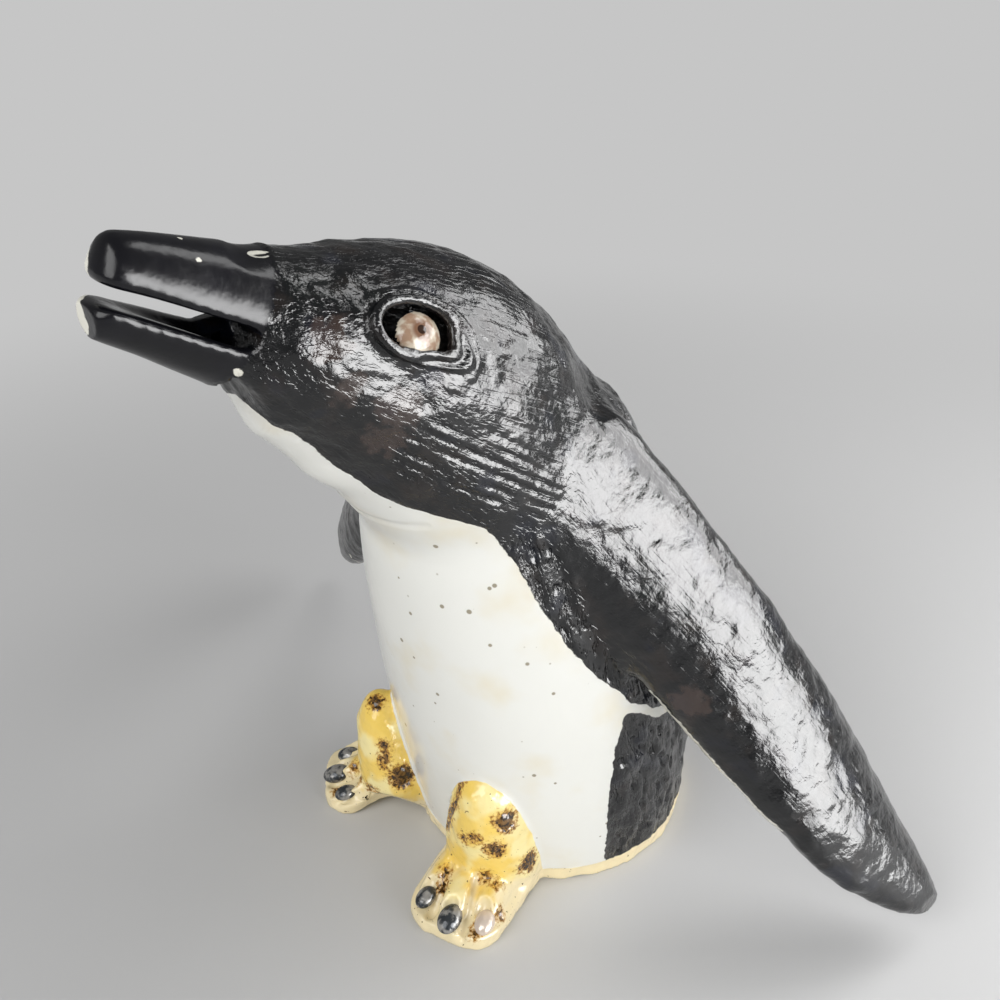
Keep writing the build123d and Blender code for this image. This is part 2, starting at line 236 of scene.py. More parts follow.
# Worn and stained places: middle and radius, or a row of points
PALE_SPOTS = [((9.4, -83.7, 152.0), 0.9), ((1.5, -87.0, 173.7), 0.5), ((5.9, -86.1, 171.0), 0.45)]
PALE_EDGE = [(-81.7, -11.3, 40.1), (-82.5, -8.1, 35.6), (-83.1, -5.5, 34.3)]
PALE_EDGE_REACH = 0.42
TAN_SPOTS = [
    ((21.8, -59.8, 142.2), 4.5), ((19.3, -61.7, 135.9), 4.0), ((53.0, -8.0, 68.0), 4.0),
    ((16.8, -69.9, 156.5), 3.5), ((18.5, -68.0, 148.0), 3.0),
]
BROWN_SPOTS = [
    ((25.3, -37.6, 27.7), 2.6), ((24.6, -40.8, 19.8), 2.0), ((27.8, -31.8, 11.9), 2.8),
    ((20.6, -43.8, 22.7), 1.2), ((17.5, -44.8, 20.8), 0.9), ((23.1, -41.9, 10.5), 1.2),
    ((26.1, -41.2, 9.5), 0.9), ((30.7, -44.4, 5.5), 1.0),
    ((-22.9, -42.1, 36.2), 1.8), ((-12.1, -42.2, 17.2), 3.2), ((-19.7, -47.4, 10.0), 2.0),
    ((-31.2, -45.5, 8.3), 0.8), ((-26.0, -46.9, 9.0), 0.8), ((-30.2, -51.8, 4.0), 1.0),
]
BROWN_STROKES = [
    [(13.1, -41.0, 33.4), (13.3, -43.8, 28.0), (9.2, -43.4, 16.9)],
    [(14.6, -47.9, 9.3), (16.7, -51.7, 7.5)],
    [(28.3, -48.5, 9.0), (30.5, -51.5, 4.0)],
    [(-16.4, -44.4, 26.8), (-15.4, -45.4, 21.0)],
]
BROWN_STROKE_REACH = 0.8

# Grooves between the toes
TOE_GROOVES = [
    [(13.5, -46.0, 9.5), (17.3, -52.0, 7.0), (19.5, -57.5, 3.0)],
    [(21.0, -43.5, 9.5), (26.0, -49.5, 7.0), (29.0, -55.0, 3.0)],
    [(-19.5, -47.0, 9.5), (-24.0, -50.5, 6.0), (-27.5, -54.5, 3.0)],
    [(-25.0, -43.0, 9.5), (-30.0, -48.0, 7.0), (-34.0, -52.0, 3.0)],
]
GROOVE_REACH = 1.8
GROOVE_DEPTH = 1.3

# Arch between the toes of the right foot and the base
ARCH = (-14.0, -45.0, 0.0)
ARCH_REACH = 13.0
ARCH_MOVE = (-2.6, 2.2, 3.0)

# Claws, moved on their toes
CLAW_FLATNESS = 0.72           # of the height of their solids
CLAW_SIZES = {"inner": 1.0, "middle": 1.25, "outer": 1.05}
LEFT_CLAW_MOVES = {"inner": (0.6, -1.6, -2.4), "middle": (1.6, -1.2, -2.1), "outer": (1.8, -0.8, -2.4)}
RIGHT_CLAW_MOVE = (0.6, -1.4, -2.5)
PALE_CLAW = "left_outer_claw"

# Floor, which turns into an even backdrop between these distances in metres
BACKDROP_REACH = (0.12, 0.5)
BACKDROP_COLOUR = (198, 198, 198)
FLOOR_COLOUR = (190, 190, 190)
FLOOR_ROUGHNESS = 0.6
FLOOR_HALF = 3.0
WORLD_STRENGTH = 0.18

# Lamps: name, place, width and height in metres, watts, and whether it shows only as gloss
LAMPS = [
    ("side", (0.54, 0.06, 0.16), 0.36, 0.3, 1.6, False),
    ("side_gloss", (0.54, 0.1, 0.17), 0.62, 0.46, 10.0, True),
    ("rear", (0.26, 0.48, 0.37), 0.42, 0.28, 2.2, False),
    ("rear_gloss", (0.26, 0.48, 0.37), 0.55, 0.4, 5.5, True),
    ("top", (0.04, 0.3, 0.65), 0.2, 0.2, 0.6, False),
    ("front", (0.1, -0.9, 0.75), 0.8, 0.8, 9.5, False),
]
LAMP_AIM = (0.0, 0.0, 0.09)

# Vent under the base
VENT_PLACE = (0.0, 18.0)
VENT_RADIUS = 4.0
VENT_DEPTH = 6.0

LID_NODES = ["left_eyelid", "right_eyelid"]
FLIPPER_NODES = ["left_flipper", "right_flipper"]
BODY_NODES = ["body_shell", "head_shell"] + FLIPPER_NODES + LID_NODES
BEAK_NODES = ["upper_beak", "lower_beak"]
LOOSE_KINDS = ("eye", "claw")


def srgb(red, green, blue):
    """Colour as it is seen on a screen, 0 to 255, as a shader takes it."""
    shares = [channel / 255 for channel in (red, green, blue)]
    return tuple(s / 12.92 if s <= 0.04045 else ((s + 0.055) / 1.055) ** 2.4 for s in shares) + (1.0,)


def unit(vector):
    """The same direction with a length of 1."""
    return np.array(vector) / np.linalg.norm(vector)


def steps(values, low, high):
    """0 below low, 1 above high and a smooth rise between them."""
    share = np.clip((values - low) / (high - low), 0, 1)
    return share * share * (3 - 2 * share)


def read_off(table, values):
    """Values looked up in a table of pairs."""
    places, results = zip(*table)
    return np.interp(values, places, results)


def hashed(cells, seed):
    """Repeatable number from -1 to 1 for each whole-number cell."""
    parts = cells.astype(np.int64).astype(np.uint64)
    mixed = parts[:, 0] * np.uint64(73856093) ^ parts[:, 1] * np.uint64(19349663)
    mixed = mixed ^ parts[:, 2] * np.uint64(83492791) ^ np.uint64(seed * 2654435761)
    for factor in (0x9E3779B97F4A7C15, 0xBF58476D1CE4E5B9):
        mixed = (mixed ^ (mixed >> np.uint64(29))) * np.uint64(factor)
    return (mixed >> np.uint64(40)).astype(float) / 2 ** 23 - 1


def noise(places, size, seed):
    """Smooth random field from -1 to 1 with lumps of about a size."""
    scaled = places / size
    cells = np.floor(scaled)
    blend = scaled - cells
    blend = blend * blend * (3 - 2 * blend)
    total = np.zeros(len(places))
    for corner in itertools.product((0, 1), repeat=3):
        shares = np.where(corner, blend, 1 - blend)
        total += shares.prod(axis=1) * hashed(cells + corner, seed)
    return total


def combed(places, along, length, width):
    """Places turned so that the first axis lies along a direction, in strokes of a length and width."""
    first = unit(along)
    second = unit(np.cross(first, (0.3, 0.5, 0.8)))
    third = np.cross(first, second)
    return np.stack([places @ first / length, places @ second / width, places @ third / width], axis=1)


def inside_spot(places, middle, radius):
    """How far inside a round spot each place lies."""
    return radius - np.linalg.norm(places - np.array(middle), axis=1)


def inside_stroke(places, row, radius):
    """How far inside a stroke along a row of points each place lies."""
    best = np.full(len(places), -np.inf)
    for start, end in zip(row, row[1:]):
        start, step = np.array(start), np.subtract(end, start)
        share = np.clip((places - start) @ step / (step @ step), 0, 1)
        best = np.maximum(best, radius - np.linalg.norm(places - start - np.outer(share, step), axis=1))
    return best


def normals_of(points, quads):
    """Unit normal at each point of a skin of four-sided faces."""
    first = points[quads[:, 2]] - points[quads[:, 0]]
    second = points[quads[:, 3]] - points[quads[:, 1]]
    face_normals = np.cross(first, second)
    normals = np.zeros_like(points)
    for axis in range(3):
        for corner in range(4):
            normals[:, axis] += np.bincount(quads[:, corner], face_normals[:, axis], len(points))
    return normals / np.linalg.norm(normals, axis=1, keepdims=True)


def edges_of(quads):
    """Each edge of the faces once, as a pair of points."""
    pairs = np.concatenate([quads[:, [0, 1]], quads[:, [1, 2]], quads[:, [2, 3]], quads[:, [3, 0]]])
    return np.unique(np.sort(pairs, axis=1), axis=0)


def smoothed(values, edges, passes, weight):
    """Values eased towards those of their neighbours, by a weight at each point."""
    values = values.copy()
    count = len(values)
    degree = np.bincount(edges.ravel(), minlength=count)
    for _ in range(passes):
        for column in range(values.shape[1]):
            ends = values[edges, column]
            sums = np.bincount(edges[:, 0], ends[:, 1], count) + np.bincount(edges[:, 1], ends[:, 0], count)
            values[:, column] += weight * (sums / degree - values[:, column])
    return values


def build_skin():
    """Points in millimetres and four-sided faces of one surface over all the clay solids."""
    union = bmesh.new()
    for name, node in nodes.items():
        if name.split("_")[-1] not in LOOSE_KINDS and name != "base_slab":
            union.from_mesh(node.data)
    low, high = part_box("base_slab")
    radius = (high.x - low.x) / 2
    middle = Matrix.Translation((low + high) / 2)
    bmesh.ops.create_cone(
        union, cap_ends=True, segments=SLAB_SIDES, radius1=radius, radius2=radius,
        depth=high.z - low.z, matrix=middle,
    )
    bmesh.ops.remove_doubles(union, verts=union.verts, dist=0.001 * MM)
    mesh = bpy.data.meshes.new("skin")
    union.to_mesh(mesh)
    union.free()
    skin = bpy.data.objects.new("skin", mesh)
    bpy.context.scene.collection.objects.link(skin)
    remesh = skin.modifiers.new("remesh", "REMESH")
    remesh.mode = "VOXEL"
    remesh.voxel_size = VOXEL * MM
    whole = bpy.data.meshes.new_from_object(skin.evaluated_get(bpy.context.evaluated_depsgraph_get()))
    points = np.empty(len(whole.vertices) * 3, np.float32)
    whole.vertices.foreach_get("co", points)
    quads = np.empty(len(whole.loops), np.int32)
    whole.loops.foreach_get("vertex_index", quads)
    bpy.data.objects.remove(skin)
    return points.reshape(-1, 3).astype(float) / MM, quads.reshape(-1, 4)


def find_owners(points):
    """For each point, the nearest solid, and how far off the second nearest one is."""
    owner = np.zeros(len(points), int)
    nearest = np.full(len(points), np.inf)
    second = np.full(len(points), np.inf)
    for index, name in enumerate(skin_nodes):
        mesh = nodes[name].data
        tree = BVHTree.FromPolygons([v.co for v in mesh.vertices], [p.vertices for p in mesh.polygons])
        low, high = [np.array(corner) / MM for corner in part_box(name)]
        close = ((points > low - JOINT_REACH) & (points < high + JOINT_REACH)).all(axis=1)
        rows = np.flatnonzero(close)
        apart = np.array([tree.find_nearest(point)[3] for point in points[rows] * MM]) / MM
        beats = apart < nearest[rows]
        second[rows] = np.where(beats, nearest[rows], np.minimum(second[rows], apart))
        nearest[rows] = np.where(beats, apart, nearest[rows])
        owner[rows[beats]] = index
    return owner, second


def even_owners(owner, edges):
    """Owners with smooth borders and no stray islands."""
    best = np.full(len(owner), -1.0)
    even = owner.copy()
    for index in range(len(skin_nodes)):
        share = smoothed((owner == index).astype(float)[:, None], edges, SEAM_PASSES, 0.5)[:, 0]
        even = np.where(share > best, index, even)
        best = np.maximum(best, share)
    return even


skin_nodes = [name for name in nodes if name.split("_")[-1] not in LOOSE_KINDS]
points, quads = build_skin()
edges = edges_of(quads)
owner, second = find_owners(points)
owner = even_owners(owner, edges)


def owned_by(names):
    """1 on the skin of these nodes and 0 elsewhere."""
    return np.isin(owner, [skin_nodes.index(name) for name in names]).astype(float)


def bearings():
    """Bearing of each point from straight ahead, about the body's axis, and the distance from the axis."""
    ahead = AXIS_AHEAD + AXIS_LEAN * (points[:, 2] - AXIS_HEIGHT)
    bearing = np.degrees(np.arctan2(np.abs(points[:, 0]), -(points[:, 1] + ahead)))
    return bearing, np.hypot(points[:, 0], points[:, 1] + ahead)


plumage = owned_by(BODY_NODES)
head = owned_by(["head_shell"])
back = owned_by(["body_shell"])
flippers = owned_by(FLIPPER_NODES)
beak = owned_by(BEAK_NODES)
lids = owned_by(LID_NODES)
yellow = 1 - plumage - beak

# Left flipper
blade = owner == skin_nodes.index("left_flipper")
own = points[blade]
along, outward = unit(LEFT_ALONG), unit(EDGE_OUT)
place = own @ along
stations = np.linspace(place.min() + 3, place.max() - 3, 20)
centres = np.array([own[np.abs(place - station) < 3].mean(axis=0) for station in stations])
middle = np.stack([np.interp(place, stations, centres[:, axis]) for axis in range(3)], axis=1)
angle = np.radians(FLIPPER_TURN) * steps((place - place.min()) / np.ptp(place), *TURN_SHARES)
off = own - middle
ahead = np.outer(off @ along, along)
own = middle + ahead + (off - ahead) * np.cos(angle)[:, None] + np.cross(along, off) * np.sin(angle)[:, None]
reach_down = own @ outward
spots = np.array(FLIPPER_EDGE)
spot_place = spots @ along
slices = [np.abs(place - spot) < 2 for spot in spot_place]
core = np.array([reach_down[rows].mean() for rows in slices])
edge_reach = np.array([reach_down[rows].max() for rows in slices])
narrower = (spots @ outward - core) / (edge_reach - core) - 1
ends = [spot_place[0] - EDGE_START, *spot_place, spot_place[-1] + EDGE_END]
below = np.maximum(reach_down - np.interp(place, spot_place, core), 0)
own = own + np.outer(np.interp(place, ends, [0, *narrower, 0]) * below, outward)
points[blade] = own
worn_edge = np.full(len(points), -9.0)
edge_gap = np.interp(place, spot_place, spots @ outward) - own @ outward
along_edge = (place > spot_place[0]) & (place < spot_place[-1])
worn_edge[blade] = np.where(along_edge, EDGE_WEAR - edge_gap, -9)

# Joints are smoothed over, as a potter does with a wet finger, but not at the face
points = smoothed(points, edges, SKIN_PASSES, 0.5)
points = smoothed(points, edges, BEAK_PASSES, 0.5 * beak)
near_features = steps(-points[:, 1], *FACE_AHEAD) * steps(points[:, 2], *FACE_HEIGHT)
low_down = steps(LEG_HEIGHT - points[:, 2], 0, LEG_FADE)
toes = steps(TOE_HEIGHT - points[:, 2], 0, TOE_FADE) * steps(-points[:, 1], *TOE_AHEAD)
joint = np.clip(1 - second / JOINT_REACH, 0, 1) * (1 - low_down) * (1 - lids) * (1 - beak)
joint *= 1 - near_features
points = smoothed(points, edges, JOINT_PASSES, 0.5 * joint)
foot_joint = np.clip(1 - second / FOOT_REACH, 0, 1) * low_down * (1 - (1 - TOE_SHARE) * toes)
points = smoothed(points, edges, FOOT_PASSES, 0.5 * foot_joint)
bearing, _ = bearings()
breast = steps(BREAST_REACH - np.abs(points[:, 2] - BREAST_HEIGHT), 0, BREAST_FADE)
fair = breast * steps(BREAST_SPREAD - bearing, 0, 12) * (head + back)
left_hand = np.abs(points[:, 0])[:, None] * (1, 0, 0) + points * (0, 1, 1)
fair = np.maximum(fair, steps(inside_spot(left_hand, SHOULDER, SHOULDER_REACH), 0, 8))
fair = np.maximum(fair, steps(inside_spot(left_hand, ARMPIT, ARMPIT_REACH), 0, 6))
fair = np.maximum(fair, steps(inside_spot(left_hand, NOSTRIL, NOSTRIL_REACH), 0, 2) * beak)
blade_end = np.zeros(len(points))
for name in FLIPPER_NODES:
    own = np.where((owner == skin_nodes.index(name))[:, None], points, 0)
    end = own[np.abs(own[:, 0]).argmax()]
    blade_end = np.maximum(blade_end, steps(inside_spot(points, end, END_REACH), 0, END_REACH))
fair = np.maximum(fair, END_SHARE * blade_end)
points = smoothed(points, edges, FAIR_PASSES, 0.5 * fair)

shoulder = steps(inside_spot(left_hand, SHOULDER_TOP, SHOULDER_TOP_REACH), 0, SHOULDER_TOP_REACH - 3)
blade_back = blade * steps(inside_stroke(points, FLIPPER_BACK, FLIPPER_BACK_REACH), 0, FLIPPER_BACK_REACH)
outward = END_SWELL * blade_end - SHOULDER_TOP_DEPTH * shoulder + FLIPPER_BACK_SWELL * blade_back
points = points + normals_of(points, quads) * outward[:, None]

# Chin, throat and gape of the beak
normals = normals_of(points, quads)
swell = steps(inside_stroke(points, [THROAT_START, THROAT_END], THROAT_REACH), 0, THROAT_REACH) * head
chin = steps(inside_spot(points, CHIN, CHIN_REACH), 0, CHIN_REACH - 3) * head
points = points + normals * (THROAT_SWELL * swell - CHIN_DEPTH * chin)[:, None]
gape = head * steps(-points[:, 1], *GAPE_AHEAD) * steps(points[:, 2], *GAPE_FLOOR)
gape *= steps(GAPE_TOP - points[:, 2], 0, 3)
points[:, 1] += GAPE_DEPTH * gape * steps(3 - points[:, 0], 0, 5)

# Right foot
arch = steps(inside_spot(points, ARCH, ARCH_REACH), 0, ARCH_REACH - 3) * owned_by(["right_leg", "right_foot"])
points = points + np.outer(arch, ARCH_MOVE)

# Eyelids
sides = np.where(points[:, 0] < 0, -1.0, 1.0)
sided = points * np.stack([sides, np.ones(len(points)), np.ones(len(points))], axis=1)
from_eye = sided - np.array(EYE_MIDDLE)
eye_out = np.cross(EYE_ALONG, EYE_UP)
along_eye, up_eye = from_eye @ unit(EYE_ALONG), from_eye @ unit(EYE_UP)
turn = np.degrees(np.arctan2(up_eye, along_eye))
reach = np.hypot(along_eye, up_eye)
lid_place = np.hypot(along_eye / LID_RADII[0], up_eye / LID_RADII[1])
stretch = CORNER_STRETCH * np.exp(-(((turn - CORNER_BEARING) / CORNER_SPREAD) ** 2))
stretch -= LOWER_LID_RISE * np.clip(-np.sin(np.radians(turn)), 0, 1) ** 2
near_eye = steps(EYE_REACH - reach, 0, 6) * steps(reach, 1, 5)
near_eye *= steps(9 - np.abs(from_eye @ unit(eye_out)), 0, 3)
on_face = np.outer(along_eye, unit(EYE_ALONG)) + np.outer(up_eye, unit(EYE_UP))
moved = (stretch * near_eye)[:, None] * on_face
moved[:, 0] *= sides
points = points + moved
sided = sided + moved * np.stack([sides, np.ones(len(points)), np.ones(len(points))], axis=1)

# Beak, with longer and rounded tips
corner_reach = np.full(len(points), 99.0)
for name in BEAK_NODES:
    rows = owner == skin_nodes.index(name)
    own = points[rows]
    front_end = own[own[:, 1] < own[:, 1].min() + 3].mean(axis=0)
    root_end = own[own[:, 1] > own[:, 1].max() - 3].mean(axis=0)
    along = unit(front_end - root_end)
    bare = (own @ along).max() - own @ along
    back_off = TIP_ROUND * own[:, 0] ** 2 * steps(TIP_REACH - bare, 0, TIP_REACH)
    forward = TIP_STRETCH * steps(TIP_REACH - bare, 0, TIP_REACH) - back_off
    own = own + np.outer(forward, along)
    points[rows] = own
    corner_reach[rows] = (own @ unit(CHIP_SIDE)).max() - own @ unit(CHIP_SIDE)

# Vent
under = np.hypot(points[:, 0] - VENT_PLACE[0], points[:, 1] - VENT_PLACE[1])
points[:, 2] += VENT_DEPTH * steps(VENT_RADIUS - under, 0, 0.6) * (points[:, 2] < 1)

# Colour borders, as distances in millimetres that are above 0 on the black side
bearing, reach_out = bearings()
height = points[:, 2]
front = np.radians(bearing - read_off(FRONT_BORDER, height)) * reach_out
side = np.radians(bearing - read_off(PATCH_SIDE, height)) * reach_out
patch_top = read_off(PATCH_TOP, bearing)
strip = STRIP_WIDTH - (STRIP_WIDTH + STRIP_LAP) * steps(bearing, *STRIP_END)
above = np.minimum(front, height - patch_top - strip)
black = np.maximum(above, np.minimum(side, patch_top - height))
black = smoothed(black[:, None], edges, 4, np.full(len(points), 0.5))[:, 0]
black = np.where(flippers + beak + lids > 0, 8.0, black)

golden = 4 * (smoothed(yellow[:, None], edges, 6, np.full(len(points), 0.5))[:, 0] - 0.5)

# Worn and stained places, in the same way
pale = np.full(len(points), -9.0)
pale = np.maximum(pale, np.where(beak > 0, TIP_CHIP - corner_reach, -9))
pale = np.maximum(pale, worn_edge)
for place, radius in PALE_SPOTS:
    pale = np.maximum(pale, inside_spot(points, place, radius))
pale = np.maximum(pale, inside_stroke(points, PALE_EDGE, PALE_EDGE_REACH))
tan = np.full(len(points), -9.0)
for place, radius in TAN_SPOTS:
    tan = np.maximum(tan, inside_spot(points, place, radius))
brown = np.full(len(points), -9.0)
for place, radius in BROWN_SPOTS:
    brown = np.maximum(brown, inside_spot(points, place, radius))
for row in BROWN_STROKES:
    brown = np.maximum(brown, inside_stroke(points, row, BROWN_STROKE_REACH))

# Feather strokes, combed in a direction of their own on each piece
regions = [
    (["head_shell"] + LID_NODES, HEAD_ALONG, HEAD_LENGTH, HEAD_STROKES),
    (["left_flipper"], LEFT_ALONG, FLIPPER_LENGTH, FLIPPER_STROKES),
    (["right_flipper"], RIGHT_ALONG, FLIPPER_LENGTH, FLIPPER_STROKES),
    (["body_shell"], BACK_ALONG, BACK_LENGTH, BACK_STROKES),
]
feathered = plumage * steps(black, 0, 1.5) * (1 - lids)
cheek = head * steps(inside_stroke(sided, [CHEEK_START, CHEEK_END], CHEEK_REACH), 0, 3)
relief = np.zeros(len(points))
combs = {}
stroke = np.zeros(len(points))
for seed, (names, along, length, strength) in enumerate(regions):
    own_share = smoothed(owned_by(names)[:, None], edges, 8, 0.5)[:, 0]
    stroke += own_share * strength
    share = own_share * feathered * (1 - 0.7 * cheek)
    fine = noise(combed(points, along, length, FINE_WIDTH), 1.0, 10 + seed)
    coarse = noise(combed(points, along, 2 * length, COARSE_WIDTH), 1.0, 20 + seed)
    relief += share * strength * (-FINE_DEPTH * steps(fine, 0.15, 0.55) + COARSE_DEPTH * coarse)
    combs.update({name: combed(points, along, length, HAIR_WIDTH) for name in names})
wave = sided @ unit(CHEEK_ACROSS) + 0.8 * noise(combed(sided, CHEEK_ALONG, 16.0, 5.0), 1.0, 40)
cut = np.cos(2 * np.pi * wave / CHEEK_PITCH)
broken = steps(noise(combed(sided, CHEEK_ALONG, 6.0, 2.2), 1.0, 41), -0.5, 0.1)
relief -= feathered * cheek * broken * CHEEK_DEPTH * steps(cut, 0.35, 0.95)
uneven = [(feathered, UNEVEN_BLACK), ((1 - feathered) * plumage, UNEVEN_WHITE)]
uneven += [(yellow, UNEVEN_YELLOW), (beak, UNEVEN_BEAK)]
for share, lumps in uneven:
    for size, rise, seed in lumps:
        relief += share * rise * noise(points, size, seed)
nostril = sided[np.linalg.norm(sided - np.array(NOSTRIL), axis=1).argmin()]
from_nostril = sided - nostril
along_slit = from_nostril @ unit(NOSTRIL_ALONG)
off_slit = np.linalg.norm(from_nostril - np.outer(along_slit, unit(NOSTRIL_ALONG)), axis=1)
slit = np.hypot(along_slit / NOSTRIL_RADII[0], off_slit / NOSTRIL_RADII[1])
relief -= NOSTRIL_DEPTH * steps(1.1 - slit, 0, 0.5)
for row in TOE_GROOVES:
    relief -= yellow * GROOVE_DEPTH * steps(inside_stroke(points, row, GROOVE_REACH), 0, GROOVE_REACH)
relief -= CREASE_DEPTH * steps(inside_stroke(sided, CREASE, CREASE_REACH), 0, CREASE_REACH)
relief -= yellow * 0.35 * steps(brown, -0.4, 0.4) * steps(-brown, -1.2, -0.6)
relief += LID_HEIGHT * near_eye * np.exp(-(((lid_place - 0.97) / 0.09) ** 2))
relief += FOLD_HEIGHT * near_eye * np.exp(-(((lid_place - 1.27) / 0.08) ** 2)) * steps(up_eye, -3, 1)
points = points + normals_of(points, quads) * relief[:, None]
points = np.clip(points, np.array(cad_box[0]) / MM, np.array(cad_box[1]) / MM)
normals = normals_of(points, quads)


class Look:
    """A procedural glaze, with short calls for the nodes it needs."""

    def __init__(self, name):
        self.material = bpy.data.materials.new(name)
        self.material.use_nodes = True
        self.tree = self.material.node_tree
        self.shader = self.tree.nodes["Principled BSDF"]
        self.place = self.make("ShaderNodeTexCoord").outputs["Object"]

    def make(self, kind, inputs=(), **settings):
        """A node with its settings, and its inputs set or linked."""
        node = self.tree.nodes.new(kind)
        for key, value in settings.items():
            setattr(node, key, value)
        for key, value in dict(inputs).items():
            self.give(node.inputs[key], value)
        return node

    def give(self, socket, value):
        """Sets a socket, or links another one to it."""
        if isinstance(value, bpy.types.NodeSocket):
            self.tree.links.new(value, socket)
        else:
            socket.default_value = value

    def set(self, **inputs):
        """Sets or links the shader's own sockets; an underscore stands for a space."""
        for key, value in inputs.items():
            self.give(self.shader.inputs[key.replace("_", " ")], value)

    def attribute(self, name, output="Fac"):
        """A painted value of the skin."""
        return self.make("ShaderNodeAttribute", attribute_name=name).outputs[output]

    def moved(self, seed):
        """Places shifted by a seed, so that patterns differ."""
        return self.make("ShaderNodeVectorMath", {0: self.place, 1: (seed,) * 3}, operation="ADD").outputs[0]

    def noise(self, size, detail=2.0, seed=0.0):
        """Cloudy values about 0.5, with lumps of a size in millimetres."""
        inputs = {"Vector": self.moved(seed), "Scale": 1 / (size * MM), "Detail": detail}
        return self.make("ShaderNodeTexNoise", inputs).outputs["Fac"]

    def cells(self, size, seed=0.0):
        """Scattered points that are about a size in millimetres apart."""
        inputs = {"Vector": self.moved(seed), "Scale": 1 / (size * MM)}
        return self.make("ShaderNodeTexVoronoi", inputs).outputs

    def step(self, value, low, high):
        """0 below low, 1 above high and a smooth rise between them."""
        inputs = {"Value": value, "From Min": low, "From Max": high}
        return self.make("ShaderNodeMapRange", inputs, interpolation_type="SMOOTHSTEP").outputs["Result"]

    def math(self, operation, first, second):
        """Two values put together."""
        return self.make("ShaderNodeMath", {0: first, 1: second}, operation=operation).outputs[0]

    def mirrored(self):
        """Places with the right side turned over to the left."""
        parts = self.make("ShaderNodeSeparateXYZ", {0: self.place}).outputs
        outward = self.math("ABSOLUTE", parts["X"], 0.0)
        return self.make("ShaderNodeCombineXYZ", {0: outward, 1: parts["Y"], 2: parts["Z"]}).outputs[0]

    def apart(self, first, second):
        """Distance between two places."""
        return self.make("ShaderNodeVectorMath", {0: first, 1: second}, operation="DISTANCE").outputs["Value"]

    def ragged(self, value, size, amount, seed=0.0):
        """A distance in millimetres with an uneven border."""
        wobble = self.math("MULTIPLY", self.math("SUBTRACT", self.noise(size, 3.0, seed), 0.5), amount)
        return self.math("ADD", value, wobble)

    def mix(self, share, first, second):
        """Colour between two, by a share."""
        inputs = {0: share, 6: first, 7: second}
        return self.make("ShaderNodeMix", inputs, data_type="RGBA").outputs[2]

    def blend(self, share, first, second):
        """Number between two, by a share."""
        return self.make("ShaderNodeMix", {0: share, 2: first, 3: second}).outputs[0]

    def bump(self, height, depth):
        """Fine relief of a depth in millimetres."""
        inputs = {"Height": height, "Distance": depth * MM, "Strength": 1.0}
        self.set(Normal=self.make("ShaderNodeBump", inputs).outputs["Normal"])


